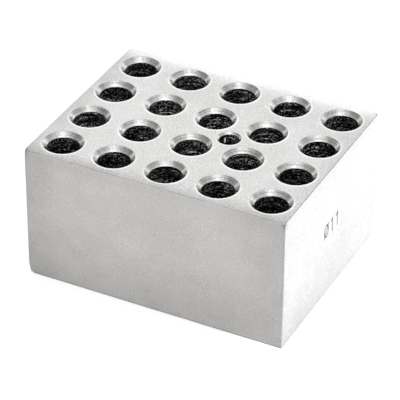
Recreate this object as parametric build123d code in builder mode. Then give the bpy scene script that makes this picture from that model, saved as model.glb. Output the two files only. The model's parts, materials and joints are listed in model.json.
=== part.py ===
from build123d import *
import os

# Interchangeable heating block of a dry block heater: one machined aluminium
# billet with 20 countersunk tube wells in 4 rows of 5, and one slim
# thermometer well in the middle of four of them.
#
# Frame: origin at the centre of the underside, +X along the length (rows of
# five wells), +Y towards the back, +Z up. The front is -Y and the face with
# the engraved size mark is +X. All dimensions in millimetres.

# ---- billet ---------------------------------------------------------------
length = 95.25              # X, 3.75 in
width = 74.3                # Y
height = 49.5               # Z
corner_radius = 0.6         # the four upright corners
top_break = 0.35            # edge break all round the top face
bottom_break = 0.7          # edge break all round the underside

# ---- tube wells (1.5 to 2 mL conical tubes) --------------------------------
columns = 5
rows = 4
pitch_x = 19.1
pitch_y = 18.25
well_radius = 5.55          # bore
rim_radius = 7.0            # mouth of the countersink, 82 degrees included
rim_depth = 1.66            # height of the countersink's cone
well_straight = 20.0        # depth at which the straight bore ends
well_taper_end = 35.4       # depth at which the tapered part ends
well_tip_radius = 2.6       # radius of the round tip of the tapered part
mouth_break = 0.2           # small edge breaks above and below the countersink

# ---- thermometer well -----------------------------------------------------
probe_x = pitch_x / 2
probe_y = 0.0
probe_radius = 3.45
probe_rim_radius = 4.1
probe_rim_depth = 0.65
probe_depth = 38.0          # to the shoulder of the drill point
probe_point = 2.0           # height of the drill point, 118 degrees included

# ---- engraved size mark on the +X face --------------------------------------
mark_height = 5.8           # height of the figures
mark_stroke = 0.62          # width of the engraving cutter
mark_depth = 0.25
mark_y = 0.55               # centre of the mark on the face
mark_z = 26.5
mark_pitch = 4.5            # from figure to figure

os.makedirs("parts", exist_ok=True)

# ---- shape of one tube well, its mouth at z = 0 -----------------------------
with BuildPart() as tube_well:
    with BuildSketch(Plane.XZ) as well_profile:
        with BuildLine():
            Polyline(
                (0, 1.0),
                (rim_radius + 1.0 * (rim_radius - well_radius) / rim_depth, 1.0),
                (well_radius, -rim_depth),
                (well_radius, -well_straight),
                (well_tip_radius, -well_taper_end),
                (0, -well_taper_end),
                close=True,
            )
        make_face()
        # small break where the countersink meets the bore
        fillet(
            well_profile.vertices().sort_by_distance((well_radius, -rim_depth, 0))[0],
            radius=mouth_break,
        )
        # soft change from the straight bore to the taper
        fillet(
            well_profile.vertices().sort_by_distance((well_radius, -well_straight, 0))[0],
            radius=3.0,
        )
    revolve(axis=Axis.Z)
    # round tip of the well
    with Locations((0, 0, -well_taper_end)):
        Sphere(radius=well_tip_radius)

# ---- shape of the thermometer well, its mouth at z = 0 ----------------------
with BuildPart() as probe_well:
    with BuildSketch(Plane.XZ):
        with BuildLine():
            Polyline(
                (0, 1.0),
                (probe_rim_radius + 1.0 * (probe_rim_radius - probe_radius) / probe_rim_depth, 1.0),
                (probe_radius, -probe_rim_depth),
                (probe_radius, -probe_depth),
                (0, -probe_depth - probe_point),
                close=True,
            )
        make_face()
    revolve(axis=Axis.Z)

# ---- the block ---------------------------------------------------------------
with BuildPart() as heating_block:
    with BuildSketch(Plane.XY) as footprint:
        Rectangle(length, width)
        fillet(footprint.vertices(), radius=corner_radius)
    extrude(amount=height)
    fillet(heating_block.faces().sort_by(Axis.Z)[-1].edges(), radius=top_break)
    fillet(heating_block.faces().sort_by(Axis.Z)[0].edges(), radius=bottom_break)

    # tube wells
    with Locations((0, 0, height)):
        with GridLocations(pitch_x, pitch_y, columns, rows):
            add(tube_well.part, mode=Mode.SUBTRACT)

    # thermometer well between the third and fourth columns
    with Locations((probe_x, probe_y, height)):
        add(probe_well.part, mode=Mode.SUBTRACT)

    # small break round each mouth
    mouths = (
        heating_block.edges()
        .filter_by(GeomType.CIRCLE)
        .filter_by_position(Axis.Z, height - 0.01, height + 0.01)
    )
    fillet(mouths, radius=mouth_break)

    # size mark: diameter sign and bore size, engraved with a round cutter
    mark_plane = Plane(
        origin=(length / 2, mark_y, mark_z), x_dir=(0, 1, 0), z_dir=(1, 0, 0)
    )
    h = mark_height / 2 - mark_stroke / 2
    with BuildSketch(mark_plane) as size_mark:
        # diameter sign
        with Locations((-mark_pitch, 0)):
            Ellipse(1.45 + mark_stroke / 2, h * 0.86 + mark_stroke / 2)
            Ellipse(1.45 - mark_stroke / 2, h * 0.86 - mark_stroke / 2, mode=Mode.SUBTRACT)
            SlotCenterToCenter(2 * h * 1.12, mark_stroke, rotation=58)
        # two figures 1, each an upright with a short flag
        for k in (0, 1):
            with Locations((k * mark_pitch * 0.86 + 0.35, 0)):
                SlotCenterToCenter(2 * h, mark_stroke, rotation=90)
            with Locations((k * mark_pitch * 0.86 + 0.35 - 0.55, h - 0.5)):
                SlotCenterToCenter(1.486, mark_stroke, rotation=42.3)
    extrude(amount=-mark_depth, mode=Mode.SUBTRACT)

heating_block.part.label = "heating_block"
export_step(heating_block.part, "parts/heating_block.step")
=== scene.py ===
import json
import math
import random

import bpy
import numpy as np
from mathutils import Matrix, Vector
from mathutils.geometry import delaunay_2d_cdt


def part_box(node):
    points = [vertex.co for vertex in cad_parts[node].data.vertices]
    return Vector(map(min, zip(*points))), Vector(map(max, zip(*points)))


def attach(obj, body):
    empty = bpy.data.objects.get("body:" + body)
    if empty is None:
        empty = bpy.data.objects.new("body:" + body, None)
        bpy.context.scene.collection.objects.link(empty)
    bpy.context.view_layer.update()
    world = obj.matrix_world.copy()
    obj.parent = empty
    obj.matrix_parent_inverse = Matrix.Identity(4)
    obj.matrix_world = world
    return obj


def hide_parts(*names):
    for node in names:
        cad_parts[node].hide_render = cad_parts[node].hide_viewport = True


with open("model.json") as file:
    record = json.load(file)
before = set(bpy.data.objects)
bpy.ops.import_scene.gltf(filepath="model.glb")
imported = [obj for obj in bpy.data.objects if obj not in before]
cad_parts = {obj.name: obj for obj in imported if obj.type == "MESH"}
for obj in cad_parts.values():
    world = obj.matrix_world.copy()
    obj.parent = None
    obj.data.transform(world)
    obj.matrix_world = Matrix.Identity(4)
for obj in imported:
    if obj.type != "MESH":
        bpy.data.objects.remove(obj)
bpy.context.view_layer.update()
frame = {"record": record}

# ---------------------------------------------------------------------------
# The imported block: its box, and the wells as the record states them.
# All of this is in metres in the frame; the mesh work below is in millimetres.
# ---------------------------------------------------------------------------
NODE = "heating_block"
lo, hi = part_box(NODE)
lo, hi = np.array(lo) * 1000.0, np.array(hi) * 1000.0
X0, Y0, Z0 = lo
X1, Y1, Z1 = hi
H = Z1

wells = []          # (x, y, bore radius)
probe = None
for m in frame["record"]["mounts"]:
    if m["kind"] == "bore":
        x, y, z = (c * 1000.0 for c in m["pos_m"])
        r = m["dims"]["r_mm"]
        if m["name"].startswith("well"):
            wells.append((x, y, r))
        else:
            probe = (x, y, r)
wells.sort(key=lambda w: (round(w[1], 3), round(w[0], 3)))

rng = random.Random(4117)


def smooth_noise(seed, n, period):
    """n values of periodic smooth noise in -1..1 with about n/period bumps."""
    r = np.random.RandomState(seed)
    k = max(int(round(n / period)), 3)
    knots = r.uniform(-1, 1, k)
    t = np.arange(n) / n * k
    i = np.floor(t).astype(int)
    f = t - i
    f = f * f * (3 - 2 * f)
    return knots[i % k] * (1 - f) + knots[(i + 1) % k] * f


# ---------------------------------------------------------------------------
# Mesh store: vertices with their own normals, faces with a material number
# and a uv pair for every corner.
# ---------------------------------------------------------------------------
V, N, F, MAT, UV = [], [], [], [], []
CUT = {}            # how deep a vertex lies in the engraved mark, 0 to 1
RIM_HIGHLIGHT = {}            # painted highlight: 1 on a mouth's rim, -1 on its throat, else 0
TOP, SIDE, SINK, BORE, PROBE = 0, 1, 2, 3, 4


def vert(p, n):
    V.append(p)
    N.append(n)
    return len(V) - 1


def face(ids, mat, uv=None):
    F.append(tuple(ids))
    MAT.append(mat)
    if uv is None:
        uv = [(V[i][0], V[i][1]) for i in ids]
    UV.append(uv)


def strip(a, b, mat, closed=True, ua=None, va=0.0, vb=0.0, ub=0.0):
    """Quads between two rings of equal count; a is the outer or upper ring."""
    n = len(a)
    for i in range(n if closed else n - 1):
        j = (i + 1) % n
        uv = None
        if ua is not None:
            u0, u1 = ub + ua * i / n, ub + ua * (i + 1) / n
            uv = [(u0, va), (u0, vb), (u1, vb), (u1, va)]
        face((a[i], b[i], b[j], a[j]), mat, uv)


def fill_flat(outer, holes, mat, axes, keep=None):
    """Triangles of a flat region between closed rings of existing vertices."""
    ids = list(outer)
    edges = [(i, (i + 1) % len(outer)) for i in range(len(outer))]
    inner_loops = []
    for h in holes:
        s = len(ids)
        ids += list(h)
        edges += [(s + i, s + (i + 1) % len(h)) for i in range(len(h))]
        inner_loops.append(h)
    pts = [Vector((V[i][axes[0]], V[i][axes[1]])) for i in ids]
    co, _, tris, orig, _, _ = delaunay_2d_cdt(pts, edges, [], 0, 1e-7, True)
    remap = {}
    for k, o in enumerate(orig):
        remap[k] = ids[o[0]] if o else None
    # A triangle lies in the region when it runs along a ring the right way
    # round; the others follow the neighbour they share an open edge with.
    place = {i: k for k, o in enumerate(orig) for i in o}
    turn, s = {}, 0
    for n, ring in enumerate([outer] + inner_loops):
        q = [(V[i][axes[0]], V[i][axes[1]]) for i in ring]
        area = sum(a[0] * b[1] - b[0] * a[1] for a, b in zip(q, q[1:] + q[:1]))
        with_it = (area > 0) == (n == 0)
        for i in range(len(ring)):
            a, b = place[s + i], place[s + (i + 1) % len(ring)]
            turn[(a, b)], turn[(b, a)] = with_it, not with_it
        s += len(ring)
    big = max(tris, key=lambda t: abs((co[t[1]] - co[t[0]]).cross(co[t[2]] - co[t[0]])))
    ccw = (co[big[1]] - co[big[0]]).cross(co[big[2]] - co[big[0]]) > 0
    ok, at_edge, todo = [None] * len(tris), {}, []
    for k, t in enumerate(tris):
        for e in ((t[0], t[1]), (t[1], t[2]), (t[2], t[0])):
            at_edge.setdefault(frozenset(e), []).append(k)
            if e in turn and ok[k] is None:
                ok[k] = turn[e] == ccw
                todo.append(k)
    while todo:
        t = tris[todo[-1]]
        good = ok[todo.pop()]
        for e in ((t[0], t[1]), (t[1], t[2]), (t[2], t[0])):
            if e not in turn:
                for k in at_edge[frozenset(e)]:
                    if ok[k] is None:
                        ok[k] = good
                        todo.append(k)
    for t, good in zip(tris, ok):
        if not good:
            continue
        tri = [remap[k] for k in t]
        if None in tri:
            raise RuntimeError("flat fill made a new point")
        face(tri, mat)


# ---------------------------------------------------------------------------
# Outside of the billet: four flat sides with hand-broken edges.
# ---------------------------------------------------------------------------
RCS = [0.5, 0.55, 0.6, 0.55]    # upright corners, from the front right round
RT = 0.36           # top edge break, before its unevenness
RB = 0.34           # underside edge break
STEP = 1.6          # spacing of points along the long edges
CORNER_SEGS = 6

hx, hy = (X1 - X0) / 2, (Y1 - Y0) / 2
cxm, cym = (X0 + X1) / 2, (Y0 + Y1) / 2

# perimeter stations: a point on the outline and its outward normal
stations = []       # (x, y, nx, ny, is straight, side index)
corners = [(1, -1), (1, 1), (-1, 1), (-1, -1)]
starts = [-90, 0, 90, 180]
for k, ((sx, sy), a0) in enumerate(zip(corners, starts)):
    rc = RCS[k]
    bx, by = cxm + sx * (hx - rc), cym + sy * (hy - rc)
    for i in range(CORNER_SEGS + 1):
        a = math.radians(a0 + 90 * i / CORNER_SEGS)
        nx, ny = math.cos(a), math.sin(a)
        stations.append((bx + nx * rc, by + ny * rc, nx, ny, False, k))
    # along the straight to where the next corner's arc starts
    a = math.radians(a0 + 90)
    nx, ny = math.cos(a), math.sin(a)
    rc2 = RCS[(k + 1) % 4]
    nx_, ny_ = corners[(k + 1) % 4]
    ex, ey = cxm + nx_ * (hx - rc2) + nx * rc2, cym + ny_ * (hy - rc2) + ny * rc2
    bx, by = bx + nx * rc, by + ny * rc
    n = max(int(round(math.hypot(ex - bx, ey - by) / STEP)), 2)
    for i in range(1, n):
        t = i / n
        stations.append((bx + (ex - bx) * t, by + (ey - by) * t, nx, ny, True, k))
NS = len(stations)

# radius of the break along the edge: uneven, with a few knocks
wob_top = smooth_noise(5, NS, 5) * 0.06 + smooth_noise(6, NS, 2) * 0.03
wob_bot = smooth_noise(7, NS, 6) * 0.05
rt = np.clip(RT + wob_top, 0.2, 0.5)
rb = np.clip(RB + wob_bot, 0.22, 0.50)


def knock(r, x, y, size, reach):
    """Widens the break round a place on the perimeter, as a knock does."""
    for s, (bx, by, nx, ny, straight, k) in enumerate(stations):
        d = math.hypot(bx - x, by - y)
        r[s] += size * math.exp(-((d / reach) ** 2))


knock(rt, X1, 14.0, 0.12, 1.5)
knock(rt, -21.0, Y0, 0.10, 2.0)
knock(rt, 31.0, Y1, 0.12, 1.8)
knock(rb, 12.0, Y0, 0.10, 3.0)
knock(rb, X0, 20.0, 0.14, 2.5)
for s, st_ in enumerate(stations):
    if not st_[4]:
        rt[s] = min(rt[s], RCS[st_[5]] - 0.05)
        rb[s] = min(rb[s], RCS[st_[5]] - 0.05)

ARC = 5


def ring_at(inset, z, tilt_in, tilt_z, arr=None):
    """A closed ring round the billet, its normals leaning from the side."""
    ids = []
    for s, (bx, by, nx, ny, straight, k) in enumerate(stations):
        d = inset[s] if hasattr(inset, "__len__") else inset
        zz = z[s] if hasattr(z, "__len__") else z
        ids.append(
            vert(
                (bx - nx * d, by - ny * d, zz),
                (nx * tilt_in, ny * tilt_in, tilt_z),
            )
        )
    return ids


rings = []
mats = []
# top break, from the flat top outwards and down
for i in range(ARC + 1):
    a = math.radians(90 - 90 * i / ARC)
    rings.append(ring_at(rt * (1 - math.cos(a)), H - rt * (1 - math.sin(a)), math.cos(a), math.sin(a)))
top_ring = rings[0]
n_rows = 14
zt, zb = H - rt, rb + Z0
for i in range(1, n_rows):
    t = i / n_rows
    rings.append(ring_at(0.0, zt * (1 - t) + zb * t, 1.0, 0.0))
first_side, last_side = ARC, ARC + n_rows
for i in range(ARC + 1):
    a = math.radians(90 * i / ARC)
    rings.append(ring_at(rb * (1 - math.cos(a)), Z0 + rb * (1 - math.sin(a)), math.cos(a), -math.sin(a)))
bottom_ring = rings[-1]



def dent(corner, rad):
    """Rounds one corner of the billet over to a ball of the given radius."""
    c = np.array(corner, float)
    inward = np.array([1.0 if c[0] < cxm else -1.0, 1.0 if c[1] < cym else -1.0, 1.0 if c[2] < H / 2 else -1.0])
    mid = c + inward * rad
    for ring in rings:
        for i in ring:
            q = (mid - np.array(V[i], float)) * inward
            if (q > -1e-9).all():
                d = np.array(V[i], float) - mid
                n = np.linalg.norm(d)
                if n > rad:
                    V[i] = tuple(mid + d * rad / n)
                    N[i] = tuple(d / n)


dent((X0, Y0, Z0), 1.25)            # the corner it has been set down on
dent((X0, Y0, H), 0.75)
dent((X1, Y0, H), 0.70)
dent((X0, Y1, Z0), 0.85)
dent((X1, Y1, H), 0.70)

# window in the +X side for the engraved mark: whole cells of the side grid
MARK_Y, MARK_Z = 0.55, 26.5
side_x = [s for s in range(NS) if stations[s][2] > 0.999 and stations[s][4]]
win_s = [s for s in side_x if abs(stations[s][1] - MARK_Y) < 9.0]
win_r = [r for r in range(first_side, last_side + 1) if abs(V[rings[r][win_s[0]]][2] - MARK_Z) < 7.0]
s_lo, s_hi, r_lo, r_hi = win_s[0], win_s[-1], win_r[0], win_r[-1]

for r in range(len(rings) - 1):
    a, b = rings[r], rings[r + 1]
    for i in range(NS):
        j = (i + 1) % NS
        if r_lo <= r < r_hi and s_lo <= i < s_hi:
            continue
        # the perimeter runs counter-clockwise seen from above
        face((a[i], b[i], b[j], a[j]), SIDE)

# underside: a fan-free fill
fill_flat(bottom_ring, [], SIDE, (0, 1))
bottom_faces_from = len(F)

# ---------------------------------------------------------------------------
# Engraved size mark: a height field with round-bottomed strokes.
# ---------------------------------------------------------------------------
MARK_H = 5.8
STROKE = 0.50
DEPTH = 0.24
PITCH = 4.5
hh = MARK_H / 2 - STROKE / 2


def ellipse_pts(cx, cy, a, b, n=48):
    return [(cx + a * math.cos(2 * math.pi * i / n), cy + b * math.sin(2 * math.pi * i / n)) for i in range(n + 1)]


strokes = [ellipse_pts(-PITCH, 0, 1.45, hh * 0.86)]
ca, sa = math.cos(math.radians(58)), math.sin(math.radians(58))
L = hh * 1.12
strokes.append([(-PITCH - L * ca, -L * sa), (-PITCH + L * ca, L * sa)])
for k in (0, 1):
    x = k * PITCH * 0.86 + 0.35
    strokes.append([(x, -hh), (x, hh)])
    strokes.append([(x - 1.1, hh - 1.0), (x, hh)])
segs = []
for s in strokes:
    segs += list(zip(s[:-1], s[1:]))
SA = np.array([a for a, b in segs])
SB = np.array([b for a, b in segs])


def stroke_distance(P):
    d = SB - SA
    w = P[:, None, :] - SA[None]
    t = np.clip((w * d[None]).sum(2) / (d * d).sum(1)[None], 0, 1)
    q = w - t[..., None] * d[None]
    return np.sqrt((q * q).sum(2)).min(1)


CELL = 0.13
gy = np.arange(-PITCH - 2.4, PITCH * 0.86 + 1.6, CELL)
gz = np.arange(-hh - 0.75, hh + 0.75, CELL)
GY, GZ = np.meshgrid(gy, gz)
P = np.stack([GY.ravel(), GZ.ravel()], 1)


def groove(P):
    u = np.clip(stroke_distance(P) / (STROKE / 2 + 0.05), 0, 1)
    return DEPTH * (1 - u * u) ** 1.3


dep = groove(P)
e = 0.02
gyn = (groove(P + [e, 0]) - groove(P - [e, 0])) / (2 * e)
gzn = (groove(P + [0, e]) - groove(P - [0, e])) / (2 * e)
gid = np.zeros(len(P), int)
for k in range(len(P)):
    gid[k] = vert((X1 - dep[k], MARK_Y + P[k, 0], MARK_Z + P[k, 1]), (1.0, gyn[k], gzn[k]))
    if dep[k] > 0:
        CUT[int(gid[k])] = dep[k] / DEPTH
gid = gid.reshape(GY.shape)
for r in range(len(gz) - 1):
    for c in range(len(gy) - 1):
        face((gid[r, c], gid[r, c + 1], gid[r + 1, c + 1], gid[r + 1, c]), SIDE)
inner = (
    list(gid[0, :]) + list(gid[1:, -1]) + list(gid[-1, ::-1][1:]) + list(gid[::-1, 0][1:-1])
)
outer = (
    [rings[r_hi][s] for s in range(s_lo, s_hi + 1)]
    + [rings[r][s_hi] for r in range(r_hi - 1, r_lo - 1, -1)]
    + [rings[r_lo][s] for s in range(s_hi - 1, s_lo - 1, -1)]
    + [rings[r][s_lo] for r in range(r_lo + 1, r_hi)]
)
fill_flat(outer, [inner], SIDE, (1, 2))

# ---------------------------------------------------------------------------
# Wells: a turned profile each, with small breaks at the mouth and under the
# countersink, faint feed rings in the bore, then the taper and the round tip.
# ---------------------------------------------------------------------------
SEG = 80


def arc_pts(cr, cz, rad, a0, a1, n):
    """(r, z, nr, nz) along an arc; the normal points away from its centre."""
    out = []
    for i in range(n + 1):
        a = math.radians(a0 + (a1 - a0) * i / n)
        out.append((cr + rad * math.cos(a), cz + rad * math.sin(a), math.cos(a), math.sin(a)))
    return out


LEAD = ((0.66, 0.006, 2.0), (0.30, 0.034, 9.0))      # beyond the rim, drop, lean in degrees


def mouth_profile(R1, R2, c, brk, lead=1.0):
    """Flat top, break, countersink cone, break, down to the bore's wall."""
    tilt = math.degrees(math.atan2(c, R1 - R2))     # cone's slope from flat
    t1 = brk * math.tan(math.radians(tilt / 2))
    # the flat dips towards the mouth, from deburring, before the break itself
    pts = []
    for off, drop, lean in LEAD:
        a = math.radians(90 + lean)
        pts.append((R1 + t1 + off * lead, -drop * lead, math.cos(a), math.sin(a)))
    dip = LEAD[-1][1] * lead + 0.02
    pts += [(r, z - dip, nr, nz) for r, z, nr, nz in arc_pts(R1 + t1, -brk, brk, 90 + LEAD[-1][2] + 3, 90 + tilt, 3)]
    ends = [len(pts)]
    nr, nz = math.cos(math.radians(90 + tilt)), math.sin(math.radians(90 + tilt))
    t2 = brk * math.tan(math.radians((90 - tilt) / 2))
    # start and end of the plain cone
    a = pts[-1]
    low = (R2 + t2 * math.cos(math.radians(tilt)), -c + t2 * math.sin(math.radians(tilt)))
    for i in (1, 2, 3):
        t = i / 4
        pts.append((a[0] + (low[0] - a[0]) * t, a[1] + (low[1] - a[1]) * t, nr, nz))
    pts += arc_pts(R2 + brk, low[1] - brk * nz, brk, 90 + tilt, 180, 3)
    ends.append(len(pts))
    return pts, ends


def well_profile(R1, R2, c, brk, straight, taper_end, tip_r, seed, rings_n):
    pts, ends = mouth_profile(R1, R2, c, brk)
    r = random.Random(seed)
    z = pts[-1][1]
    # feed rings: shallow, unevenly spaced grooves, closer near the mouth
    zs = []
    while True:
        z -= r.uniform(0.30, 0.62) * (1.0 if z > -9 else 2.2)
        if z < -straight + 0.6:
            break
        zs.append(z)
    prev = 0.0
    for k, zz in enumerate(zs):
        d = r.uniform(0.0, 0.022) if k % 2 else 0.0
        slope = (d - prev) / 0.45
        pts.append((R2 + d, zz, -1.0, -slope * 0.5))
        prev = d
    pts.append((R2, -straight + 0.28, -1.0, 0.0))
    tl = math.atan2(R2 - tip_r, taper_end - straight)
    tn = (-math.cos(tl), math.sin(tl))
    for t in (0.02, 0.25, 0.5, 0.75):
        pts.append((R2 + (tip_r - R2) * t, -straight - (taper_end - straight) * t, *tn))
    pts += [(tip_r * math.cos(a), -taper_end - tip_r * math.sin(a), -math.cos(a), math.sin(a))
            for a in (math.radians(d) for d in (6, 25, 45, 65, 82))]
    return pts, ends


def lathe(cx, cy, pts, ends, hold, wall=BORE, nth=0):
    """Builds one well; returns its ring on the flat top. Its U runs from 100
    times its number, one unit for each segment."""
    ang = [2 * math.pi * i / SEG for i in range(SEG)]
    cs = [(math.cos(a), math.sin(a)) for a in ang]
    loops = []
    loops.append([vert((cx + hold * c, cy + hold * s, H), (0, 0, 1)) for c, s in cs])
    for k, (r, z, nr, nz) in enumerate(pts):
        loops.append([vert((cx + r * c, cy + r * s, H + z), (nr * c, nr * s, nz)) for c, s in cs])
        # painted highlight: how much each ring is painted lighter, + on the rim, - at the throat
        shine = 0.3 if k == 0 else 0.8 if k == 1 else 1.0 if k < ends[0] else -1.0 if ends[0] + 3 <= k < ends[1] else -0.75 if k == ends[0] + 2 else 0.0
        if shine:
            for i in loops[-1]:
                RIM_HIGHLIGHT[i] = shine
    path = pts[0][0] - hold         # 0 at the rim, negative on the flat top
    last = (hold, 0.0)
    for k in range(len(loops) - 1):
        r, z = pts[k][0], pts[k][1]
        step = math.hypot(r - last[0], z - last[1])
        mat = TOP if k < 3 else SINK if k < ends[1] else wall
        strip(loops[k], loops[k + 1], mat, True, float(SEG), path, path + step, 100.0 * nth)
        path += step
        last = (r, z)
    tip = vert((cx, cy, H + pts[-1][1] - 0.02), (0, 0, 1))
    for i in range(SEG):
        j = (i + 1) % SEG
        u = 100.0 * nth + i
        face((loops[-1][i], tip, loops[-1][j]), wall, [(u, path), (u + 0.5, path + 0.3), (u + 1, path)])
    return loops[0]


holes = []
for k, (x, y, r) in enumerate(wells):
    pts, ends = well_profile(r + 1.45, r, 1.66, 0.15, 20.0, 35.4, 2.6, 100 + k, 0)
    holes.append(lathe(x, y, pts, ends, r + 1.45 + 1.0, BORE, k + 1))

# thermometer well: slim, straight, with a drill point
x, y, r = probe
pts, ends = mouth_profile(r + 0.65, r, 0.65, 0.15, 0.6)
rr = random.Random(77)
z = pts[-1][1]
prev = 0.0
while True:
    z -= rr.uniform(0.3, 0.6) * (1.0 if z > -9 else 2.5)
    if z < -37.3:
        break
    d = rr.uniform(0, 0.02)
    pts.append((r + d, z, -1.0, -(d - prev)))
    prev = d
pts.append((r, -37.9, -1.0, 0.0))
for t in (0.02, 0.5, 0.95):
    pts.append((r * (1 - t), -38.0 - 2.0 * t, -0.5, 0.866))
holes.append(lathe(x, y, pts, ends, r + 0.65 + 0.6, PROBE))

fill_flat(top_ring, holes, TOP, (0, 1))

# ---------------------------------------------------------------------------
# To Blender
# ---------------------------------------------------------------------------
used = np.unique(np.concatenate([np.array(f) for f in F]))
new_id = np.full(len(V), -1)
new_id[used] = np.arange(len(used))
Va = np.array([tuple(v) for v in V], float)[used]
Na = np.array([tuple(n) for n in N], float)[used]
Na /= np.linalg.norm(Na, axis=1)[:, None]

# turn every face so that it looks the way its vertices' normals do
sizes = np.array([len(f) for f in F])
f4 = np.array([f if len(f) == 4 else (*f, f[-1]) for f in F])
f4 = new_id[f4]
pa, pb, pc, pd = (Va[f4[:, k]] for k in range(4))
n4 = np.cross(pc - pa, pd - pb)
tri = sizes == 3
n4[tri] = np.cross(pb[tri] - pa[tri], pc[tri] - pa[tri])
flip = (n4 * Na[f4].sum(1)).sum(1) < 0
F2, UV2 = [], []
for k in range(len(F)):
    ids = [int(i) for i in f4[k, : sizes[k]]]
    uv = UV[k]
    if flip[k]:
        ids.reverse()
        uv = list(reversed(uv))
    F2.append(ids)
    UV2 += uv

me = bpy.data.meshes.new("block")
me.from_pydata((Va * 0.001).tolist(), [], F2)
me.update()
me.polygons.foreach_set("material_index", np.array(MAT, np.int32))
me.polygons.foreach_set("use_smooth", np.ones(len(F2), bool))
uvl = me.uv_layers.new(name="Turned")
uvl.data.foreach_set("uv", np.array(UV2, np.float32).ravel())
cut = me.attributes.new("cut", "FLOAT", "POINT")
cut.data.foreach_set("value", np.array([CUT.get(int(i), 0.0) for i in used], np.float32))
# painted highlight mask for the rims and throats
lip = me.attributes.new("lip", "FLOAT", "POINT")
lip.data.foreach_set("value", np.array([RIM_HIGHLIGHT.get(int(i), 0.0) for i in used], np.float32))
me.normals_split_custom_set_from_vertices(Na.tolist())
me.validate()
block = bpy.data.objects.new("block", me)
bpy.context.scene.collection.objects.link(block)

# ---------------------------------------------------------------------------
# Materials: aluminium in four finishes, all from nodes.
# ---------------------------------------------------------------------------
def new_mat(name):
    m = bpy.data.materials.new(name)
    m.use_nodes = True
    nt = m.node_tree
    nt.nodes.clear()
    out = nt.nodes.new("ShaderNodeOutputMaterial")
    p = nt.nodes.new("ShaderNodeBsdfPrincipled")
    nt.links.new(p.outputs["BSDF"], out.inputs["Surface"])
    return m, nt, p


def node(nt, kind, ins=None, **props):
    n = nt.nodes.new(kind)
    for k, v in props.items():
        setattr(n, k, v)
    for k, v in (ins or {}).items():
        if isinstance(v, bpy.types.NodeSocket):
            nt.links.new(v, n.inputs[k])
        else:
            n.inputs[k].default_value = v
    return n


def math_node(nt, op, a, b=0.0, c=0.0, clamp=False):
    n = nt.nodes.new("ShaderNodeMath")
    n.operation = op
    n.use_clamp = clamp
    for i, v in enumerate((a, b, c)):
        if isinstance(v, bpy.types.NodeSocket):
            nt.links.new(v, n.inputs[i])
        else:
            n.inputs[i].default_value = v
    return n.outputs[0]


def mapr(nt, v, a, b, c, d, kind="LINEAR"):
    n = nt.nodes.new("ShaderNodeMapRange")
    n.interpolation_type = kind
    nt.links.new(v, n.inputs["Value"])
    for k, x in zip(("From Min", "From Max", "To Min", "To Max"), (a, b, c, d)):
        n.inputs[k].default_value = x
    return n.outputs["Result"]


def noise(nt, vec, scale, detail=2.0, rough=0.5, lac=2.0, dist=0.0):
    n = node(nt, "ShaderNodeTexNoise", {"Scale": scale, "Detail": detail, "Roughness": rough, "Lacunarity": lac, "Distortion": dist})
    nt.links.new(vec, n.inputs["Vector"])
    return n.outputs["Fac"]


def mix_col(nt, fac, a, b, mode="MIX"):
    n = nt.nodes.new("ShaderNodeMix")
    n.data_type = "RGBA"
    n.blend_type = mode
    for k, v in (("Factor", fac), ("A", a), ("B", b)):
        s = [i for i in n.inputs if i.name == k and (i.type == "RGBA" or (k == "Factor" and i.type == "VALUE"))][0]
        if isinstance(v, bpy.types.NodeSocket):
            nt.links.new(v, s)
        else:
            s.default_value = v if k == "Factor" else (*v, 1.0)
    return [o for o in n.outputs if o.type == "RGBA"][0]


def obj_mm(nt, scale=(1, 1, 1)):
    """Object coordinates in millimetres, stretched per axis."""
    tc = nt.nodes.new("ShaderNodeTexCoord")
    mp = nt.nodes.new("ShaderNodeMapping")
    mp.inputs["Scale"].default_value = [1000.0 * s for s in scale]
    nt.links.new(tc.outputs["Object"], mp.inputs["Vector"])
    return mp.outputs["Vector"]


def turned_uv(nt):
    """A well's own coordinates: segment round it, mm down it, its number."""
    n = nt.nodes.new("ShaderNodeUVMap")
    n.uv_map = "Turned"
    sep = nt.nodes.new("ShaderNodeSeparateXYZ")
    nt.links.new(n.outputs["UV"], sep.inputs[0])
    nth = math_node(nt, "FLOOR", math_node(nt, "MULTIPLY", sep.outputs["X"], 0.01))
    u = math_node(nt, "MULTIPLY_ADD", nth, -100.0, sep.outputs["X"])
    return u, sep.outputs["Y"], nth


def turned_vec(nt, uvn, around, along):
    """Coordinates for a pattern that closes up round each well and differs
    from well to well: around cells a segment, along cells a mm."""
    u, v, nth = uvn
    t = math_node(nt, "MULTIPLY", u, math.tau / 80)
    r = around * 80 / math.tau
    c = nt.nodes.new("ShaderNodeCombineXYZ")
    nt.links.new(math_node(nt, "MULTIPLY", math_node(nt, "COSINE", t), r), c.inputs["X"])
    nt.links.new(math_node(nt, "MULTIPLY", math_node(nt, "SINE", t), r), c.inputs["Y"])
    nt.links.new(math_node(nt, "MULTIPLY_ADD", nth, 61.7, math_node(nt, "MULTIPLY", v, along)), c.inputs["Z"])
    return c.outputs[0]


def xyz(nt, v):
    sep = nt.nodes.new("ShaderNodeSeparateXYZ")
    nt.links.new(v, sep.inputs[0])
    return sep.outputs


def times(nt, *ks):
    out = ks[0]
    for k in ks[1:]:
        out = math_node(nt, "MULTIPLY", out, k)
    return out


def attr(nt, name):
    a = nt.nodes.new("ShaderNodeAttribute")
    a.attribute_name = name
    return a.outputs["Fac"]


def tint(nt, col, k):
    cc = nt.nodes.new("ShaderNodeVectorMath")
    cc.operation = "SCALE"
    if isinstance(col, bpy.types.NodeSocket):
        nt.links.new(col, cc.inputs[0])
    else:
        cc.inputs[0].default_value = col
    nt.links.new(k, cc.inputs["Scale"])
    return cc.outputs[0]


def painted_edge_shade(nt, d, dist, low, high=1.0):
    """Painted shade: a tone that is low at an edge and reaches high at dist mm from it."""
    return mapr(nt, d, 0.0, dist, low, high)


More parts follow.
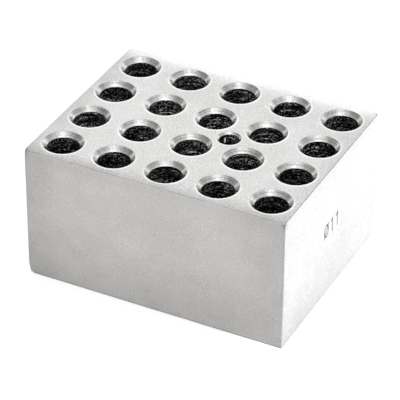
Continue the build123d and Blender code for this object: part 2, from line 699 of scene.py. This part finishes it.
def satin(name, base, warm, cool, rough, grain, streak, bump, top):
    """Blasted or fly-cut aluminium: cloudy tone, fine sparkling grain, faint
    drawn streaks, sparse dark specks. Painted light and shade, fixed to the
    block: painted shade in wide tones towards the edges and the bottom, a
    painted light band at the back of the top, painted highlights round each
    mouth and on the sides' top edge, the engraved strokes painted dark, and
    the +X end painted darker with painted light in its two lower corners."""
    m, nt, p = new_mat(name)
    v = obj_mm(nt)
    x, y, z = xyz(nt, v)[:3]
    cloud = noise(nt, v, 0.045, 3.0, 0.55)
    patch = noise(nt, v, 0.16, 2.0, 0.5)
    g1 = noise(nt, v, 1.7, 2.0, 0.6)
    g2 = noise(nt, v, 3.6, 1.0, 0.6)
    st = noise(nt, obj_mm(nt, streak), 1.0, 3.0, 0.65)
    wander = mapr(nt, patch, 0.3, 0.7, -1.4, 1.4)
    fw = mapr(nt, cloud, 0.36, 0.58, 0.0, 1.0, "SMOOTHSTEP")
    # the grain comes and goes in patches
    much = mapr(nt, noise(nt, v, 0.30, 2.0, 0.6), 0.35, 0.65, 0.5, 1.5)

    def grainy(g, amount):
        return math_node(nt, "MULTIPLY_ADD", times(nt, mapr(nt, g, 0.3, 0.7, -amount, amount), much), 1.0, 1.0)

    k = times(
        nt,
        mapr(nt, patch, 0.3, 0.7, 0.972, 1.028),
        grainy(g1, grain),
        grainy(g2, grain * 1.2),
        mapr(nt, st, 0.3, 0.7, 0.985, 1.015),
    )
    # small dark specks
    spk = node(nt, "ShaderNodeTexVoronoi", {"Scale": 0.62, "Randomness": 1.0})
    nt.links.new(v, spk.inputs["Vector"])
    k = times(nt, k, mapr(nt, spk.outputs["Distance"], 0.04, 0.12, 0.80, 1.0, "SMOOTHSTEP"))
    # distance in mm to the edges, wandering a little
    ax, ay = math_node(nt, "ABSOLUTE", x), math_node(nt, "ABSOLUTE", y)
    dx = math_node(nt, "SUBTRACT", HX, ax)
    dy = math_node(nt, "SUBTRACT", HY, ay)
    if top:
        front = math_node(nt, "ADD", math_node(nt, "ADD", y, HY), wander)
        left = math_node(nt, "ADD", math_node(nt, "ADD", x, HX), wander)
        rightd = math_node(nt, "ADD", math_node(nt, "SUBTRACT", HX, x), wander)
        # painted shade towards the front, left and right edges of the top
        k = times(nt, k, painted_edge_shade(nt, front, 5.5, 0.85), painted_edge_shade(nt, left, 11.0, 0.85), painted_edge_shade(nt, rightd, 8.0, 0.92))
        # painted shade over the back 27 mm, and a painted light band over the last 9 mm to the back edge
        back = math_node(nt, "SUBTRACT", HY, y)
        k = times(nt, k, mapr(nt, back, 18.0, 27.0, 0.955, 1.0), mapr(nt, back, 3.0, 9.0, 1.06, 1.0), mapr(nt, back, 1.0, 3.6, 1.15, 1.0))
        # painted highlight round each mouth
        k = times(nt, k, mapr(nt, attr(nt, "lip"), 0.0, 1.0, 1.0, 1.33))
    else:
        d = math_node(nt, "ADD", math_node(nt, "MAXIMUM", dx, dy), wander)
        zz = math_node(nt, "ADD", z, wander)
        fw = times(nt, fw, mapr(nt, d, 3.0, 14.0, 0.1, 1.0), mapr(nt, zz, 6.0, 18.0, 0.1, 1.0))
        fw = times(nt, fw, mapr(nt, math_node(nt, "SUBTRACT", HX, x), 0.2, 0.6, 0.0, 1.0))
        # the +X end: painted darker all over, with painted light in its two lower corners, less of the painted edge
        # shade, and its own dark pits
        end = mapr(nt, x, HX - 0.6, HX - 0.2, 0.0, 1.0)
        pits = noise(nt, v, 1.4, 2.0, 0.65)
        k = times(nt, k, mapr(nt, times(nt, end, mapr(nt, pits, 0.38, 0.62, 1.0, 0.0)), 0.0, 1.0, 1.0, 0.88))
        # painted shade: the whole +X end darker
        k = times(nt, k, mapr(nt, end, 0.0, 1.0, 1.0, 0.895))
        # painted light: the +X end lighter in its lower front corner
        low = times(nt, end, mapr(nt, y, -HY, 18.0 - HY, 1.0, 0.0), mapr(nt, z, 5.0, 22.0, 1.0, 0.0))
        k = times(nt, k, math_node(nt, "MULTIPLY_ADD", low, 0.22, 1.0))
        # painted light: and in its lower back corner
        low = times(nt, end, mapr(nt, y, HY - 26.0, HY - 6.0, 0.0, 1.0), mapr(nt, z, 3.0, 14.0, 1.0, 0.0))
        k = times(nt, k, math_node(nt, "MULTIPLY_ADD", low, 0.12, 1.0))
        k = times(
            nt,
            k,
            # painted shade towards the upright edges, none on the +X end
            math_node(nt, "MAXIMUM", painted_edge_shade(nt, d, 15.0, 0.87), end),
            # painted shade towards the -X end
            painted_edge_shade(nt, math_node(nt, "ADD", math_node(nt, "ADD", x, HX), wander), 15.0, 0.92),
            # painted shade right at the upright corners, none on the +X end
            math_node(nt, "MAXIMUM", mapr(nt, math_node(nt, "MAXIMUM", dx, dy), 0.3, 1.0, 0.96, 1.0), end),
            # painted shade towards the bottom, less on the +X end
            math_node(nt, "ADD", painted_edge_shade(nt, zz, 24.0, 0.78), times(nt, end, painted_edge_shade(nt, zz, 24.0, 0.15, 0.0))),
            # painted shade below the top edge
            mapr(nt, math_node(nt, "SUBTRACT", HZ, z), 0.3, 5.5, 0.94, 1.0),
            # painted highlight on the top edge's break
            mapr(nt, math_node(nt, "SUBTRACT", HZ, z), 0.30, 0.55, 1.35, 1.0, "SMOOTHSTEP"),
            # painted shade on the bottom edge, where the block meets the floor, none on the +X end
            math_node(nt, "MAXIMUM", mapr(nt, z, 0.05, 0.9, 0.62, 1.0), end),
            # painted shade: the engraved strokes painted dark by their depth
            mapr(nt, attr(nt, "cut"), 0.05, 0.6, 1.0, 0.05, "SMOOTHSTEP"),
        )
    k = times(nt, k, base)
    hue = mix_col(nt, fw, cool, warm)
    if not top:
        hue = mix_col(nt, end, hue, (0.994, 0.998, 0.996))
    nt.links.new(tint(nt, hue, k), p.inputs["Base Color"])
    p.inputs["Metallic"].default_value = 1.0
    r = mapr(nt, g1, 0.3, 0.7, rough - 0.05, rough + 0.05)
    r = math_node(nt, "ADD", r, mapr(nt, cloud, 0.3, 0.7, -0.03, 0.03), clamp=True)
    nt.links.new(r, p.inputs["Roughness"])
    h = math_node(nt, "ADD", math_node(nt, "MULTIPLY", g1, 0.6), math_node(nt, "MULTIPLY", g2, 0.4))
    h = math_node(nt, "ADD", h, math_node(nt, "MULTIPLY", st, 0.35))
    b = node(nt, "ShaderNodeBump", {"Strength": bump, "Distance": 0.00006})
    nt.links.new(h, b.inputs["Height"])
    if top:
        # the face falls away a little towards its front and back edges
        def fall(d, width, drop):
            d = math_node(nt, "MAXIMUM", math_node(nt, "SUBTRACT", width, d), 0.0)
            return math_node(nt, "MULTIPLY", math_node(nt, "MULTIPLY", d, d), -drop / (width * width))

        hts = math_node(
            nt, "ADD",
            fall(math_node(nt, "ADD", y, HY), 6.6, 0.28),
            fall(math_node(nt, "SUBTRACT", HY, y), 6.0, 0.36),
        )
        b2 = node(nt, "ShaderNodeBump", {"Strength": 1.0, "Distance": 0.001})
        nt.links.new(hts, b2.inputs["Height"])
        nt.links.new(b2.outputs["Normal"], b.inputs["Normal"])
    nt.links.new(b.outputs["Normal"], p.inputs["Normal"])
    return m


def turned(name):
    """Countersinks: turned bright, with fine rings and soft radial sectors,
    and a painted highlight along their lower edge, at the throat."""
    m, nt, p = new_mat(name)
    uvn = turned_uv(nt)
    ring = noise(nt, turned_vec(nt, uvn, 0.04, 2.6), 1.0, 3.0, 0.65)
    chat = noise(nt, turned_vec(nt, uvn, 0.30, 0.35), 1.0, 3.0, 0.6)
    v = obj_mm(nt)
    g = noise(nt, v, 2.6, 2.0, 0.6)
    k = times(
        nt,
        mapr(nt, ring, 0.3, 0.7, 0.68, 1.26),
        mapr(nt, chat, 0.3, 0.7, 0.82, 1.15),
        mapr(nt, g, 0.3, 0.7, 0.70, 1.28),
        # painted highlight at the throat
        mapr(nt, attr(nt, "lip"), -1.0, 0.0, 1.31, 1.0),
        0.76,
    )
    nt.links.new(tint(nt, (1.0, 0.985, 0.965), k), p.inputs["Base Color"])
    p.inputs["Metallic"].default_value = 1.0
    r = mapr(nt, chat, 0.3, 0.7, 0.15, 0.25)
    nt.links.new(r, p.inputs["Roughness"])
    b = node(nt, "ShaderNodeBump", {"Strength": 0.5, "Distance": 0.00004})
    nt.links.new(math_node(nt, "ADD", ring, math_node(nt, "MULTIPLY", chat, 0.6)), b.inputs["Height"])
    nt.links.new(b.outputs["Normal"], p.inputs["Normal"])
    return m


def bored(name, painted_streak=False):
    """Reamed bores: painted shade, almost black inside, with broken bright rings of tool
    marks all the way round. The ridges lean upwards, so they catch what light
    comes in. The marks are painted fainter in the front rows and at +X, painted shade."""
    m, nt, p = new_mat(name)
    uvn = turned_uv(nt)
    ring = noise(nt, turned_vec(nt, uvn, 0.05, 3.0), 1.0, 1.0, 0.5)
    cuts = noise(nt, turned_vec(nt, uvn, 0.50, 4.0), 1.0, 1.0, 0.6)
    zone = noise(nt, turned_vec(nt, uvn, 0.07, 0.25), 1.0, 1.0, 0.5)
    v = obj_mm(nt)
    g = noise(nt, v, 2.8, 1.0, 0.5)
    g2 = noise(nt, v, 1.2, 2.0, 0.7)
    b_ = mapr(nt, math_node(nt, "MULTIPLY_ADD", ring, 0.8, cuts), 0.998, 1.145, 0.0, 1.0)
    b_ = math_node(nt, "POWER", b_, 1.4)
    px, py = xyz(nt, v)[:2]
    # random patches, and painted shade: the marks fainter in the front rows and towards +X
    zz = times(
        nt, mapr(nt, zone, 0.36, 0.58, 0.50, 1.0, "SMOOTHSTEP"),
        mapr(nt, py, -32.0, -8.0, 0.60, 1.0), mapr(nt, px, 24.0, 38.0, 1.0, 0.80),
    )
    glint = times(nt, b_, zz)
    spark = times(nt, mapr(nt, g, 0.60, 0.67, 0.0, 0.5, "SMOOTHSTEP"), zz)
    glint = math_node(nt, "ADD", glint, spark, clamp=True)
    if painted_streak:
        # painted highlight: one upright bright streak down the wall
        du = math_node(nt, "ABSOLUTE", math_node(nt, "SUBTRACT", uvn[0], 31.2))
        dv = math_node(nt, "ABSOLUTE", math_node(nt, "SUBTRACT", uvn[1], 3.5))
        streak_highlight = times(
            nt, mapr(nt, du, 0.8, 1.3, 1.0, 0.0, "SMOOTHSTEP"), mapr(nt, dv, 0.8, 1.2, 1.0, 0.0, "SMOOTHSTEP")
        )
        glint = math_node(nt, "MAXIMUM", glint, streak_highlight)
    tone = math_node(nt, "ADD", glint, mapr(nt, g2, 0.45, 0.75, 0.0, 0.02), clamp=True)
    # painted shade: the bore wall painted near black between the bright marks
    c = mix_col(nt, tone, (0.002, 0.002, 0.0023), (0.93, 0.93, 0.93))
    nt.links.new(c, p.inputs["Base Color"])
    p.inputs["Metallic"].default_value = 0.5
    p.inputs["Specular IOR Level"].default_value = 0.03
    nt.links.new(mapr(nt, glint, 0.0, 1.0, 0.35, 0.5), p.inputs["Roughness"])
    geo = nt.nodes.new("ShaderNodeNewGeometry")
    lift = nt.nodes.new("ShaderNodeCombineXYZ")
    nt.links.new(glint, lift.inputs["Z"])
    add = nt.nodes.new("ShaderNodeVectorMath")
    nt.links.new(geo.outputs["Normal"], add.inputs[0])
    nt.links.new(lift.outputs[0], add.inputs[1])
    nrm = node(nt, "ShaderNodeVectorMath", operation="NORMALIZE")
    nt.links.new(add.outputs[0], nrm.inputs[0])
    bm_ = node(nt, "ShaderNodeBump", {"Strength": 0.5, "Distance": 0.00005})
    nt.links.new(math_node(nt, "ADD", ring, cuts), bm_.inputs["Height"])
    nt.links.new(nrm.outputs[0], bm_.inputs["Normal"])
    nt.links.new(bm_.outputs["Normal"], p.inputs["Normal"])
    return m


HX, HY, HZ = (float(X1 - X0) / 2, float(Y1 - Y0) / 2, float(Z1))
mats_ = [
    satin("top_flycut", 0.738, (1.0, 0.995, 0.980), (0.997, 1.0, 0.995), 0.36, 0.17, (0.06, 2.2, 2.2), 0.30, True),
    satin("side_satin", 0.566, (1.0, 0.952, 0.922), (1.0, 0.990, 0.972), 0.50, 0.10, (0.07, 0.07, 1.9), 0.3, False),
    turned("countersink_turned"),
    bored("bore_reamed"),
    bored("probe_bore_drilled", True),
]
for m in mats_:
    block.data.materials.append(m)

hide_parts(NODE)
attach(block, "root")

# ---------------------------------------------------------------------------
# Floor, light and camera.
# ---------------------------------------------------------------------------
fm, fnt, fp = new_mat("floor_paper")
fp.inputs["Base Color"].default_value = (0.86, 0.86, 0.86, 1.0)
fp.inputs["Roughness"].default_value = 0.9
fp.inputs["Specular IOR Level"].default_value = 0.1
# the floor glows: evenly a little all over, and a painted pool of light
# at the back right
ftc = fnt.nodes.new("ShaderNodeTexCoord")
fx, fy, _ = xyz(fnt, ftc.outputs["Object"])[:3]
glow = times(
    fnt,
    mapr(fnt, fx, 0.020, 0.060, 0.0, 1.0, "SMOOTHSTEP"),
    mapr(fnt, fy, -0.075, 0.005, 0.0, 1.0, "SMOOTHSTEP"),
    1.25,
)
glow = math_node(fnt, "ADD", glow, 0.56)
fp.inputs["Emission Color"].default_value = (1, 1, 1, 1)
fnt.links.new(glow, fp.inputs["Emission Strength"])
bpy.ops.mesh.primitive_plane_add(size=12.0, location=(0, 0, 0))
floor = bpy.context.object
floor.name = "floor"
floor.data.materials.append(fm)

world = bpy.data.worlds.new("studio")
bpy.context.scene.world = world
world.use_nodes = True
wnt = world.node_tree
wnt.nodes.clear()
wout = wnt.nodes.new("ShaderNodeOutputWorld")
wbg = wnt.nodes.new("ShaderNodeBackground")
wnt.links.new(wbg.outputs[0], wout.inputs["Surface"])
wtc = wnt.nodes.new("ShaderNodeTexCoord")


def lobe(az, el, width, strength):
    """A soft light, seen from the block at az (0 = from the front, 90 = from
    +X) and el degrees, fading out over about width degrees."""
    a, e = math.radians(az), math.radians(el)
    d = (math.sin(a) * math.cos(e), -math.cos(a) * math.cos(e), math.sin(e))
    dot = wnt.nodes.new("ShaderNodeVectorMath")
    dot.operation = "DOT_PRODUCT"
    wnt.links.new(wtc.outputs["Generated"], dot.inputs[0])
    dot.inputs[1].default_value = d
    k = 1.0 / (1.0 - math.cos(math.radians(width)))
    x = math_node(wnt, "MULTIPLY_ADD", dot.outputs["Value"], k, -k)
    x = math_node(wnt, "EXPONENT", x)
    return math_node(wnt, "MULTIPLY", x, strength)


LOBES = [
    # az, el, width, strength
    (37, 59, 19, 1.05),       # key softbox, over the camera's right shoulder
    (-12, 50, 16, 0.28),     # fill in front
    (-153, 21, 18, 1.30),    # white sweep behind, at the left
    (-153, 50, 12, 0.26),    # and faintly above it
    (160, 8, 22, 0.95),      # and at the right
    (-103, 9, 10, 0.75),     # low white card at the left
    (100, 38, 30, 0.22),
    (0, 90, 34, 0.60),       # overhead
]
total = None
for L_ in LOBES:
    s = lobe(*L_)
    total = s if total is None else math_node(wnt, "ADD", total, s)
total = math_node(wnt, "ADD", total, 0.30)
wnt.links.new(total, wbg.inputs["Strength"])
wbg.inputs["Color"].default_value = (1, 1, 1, 1)

cam_data = bpy.data.cameras.new("camera")
cam = bpy.data.objects.new("camera", cam_data)
bpy.context.scene.collection.objects.link(cam)
az, el, roll = (math.radians(a) for a in (26.7193, 34.0168, 0.2555))
back = Vector((math.sin(az) * math.cos(el), -math.cos(az) * math.cos(el), math.sin(el)))
right0 = Vector((math.cos(az), math.sin(az), 0.0))
up0 = back.cross(right0)
right = right0 * math.cos(roll) + up0 * math.sin(roll)
up = back.cross(right)
rot = Matrix((right, up, back)).transposed().to_4x4()
cam.matrix_world = Matrix.Translation((0.3058305, -0.6099717, 0.4823551)) @ rot
cam_data.sensor_width = 36.0
cam_data.lens = 218.024
cam_data.clip_start, cam_data.clip_end = 0.01, 50.0
bpy.context.scene.camera = cam
bpy.context.scene.view_settings.view_transform = "Standard"
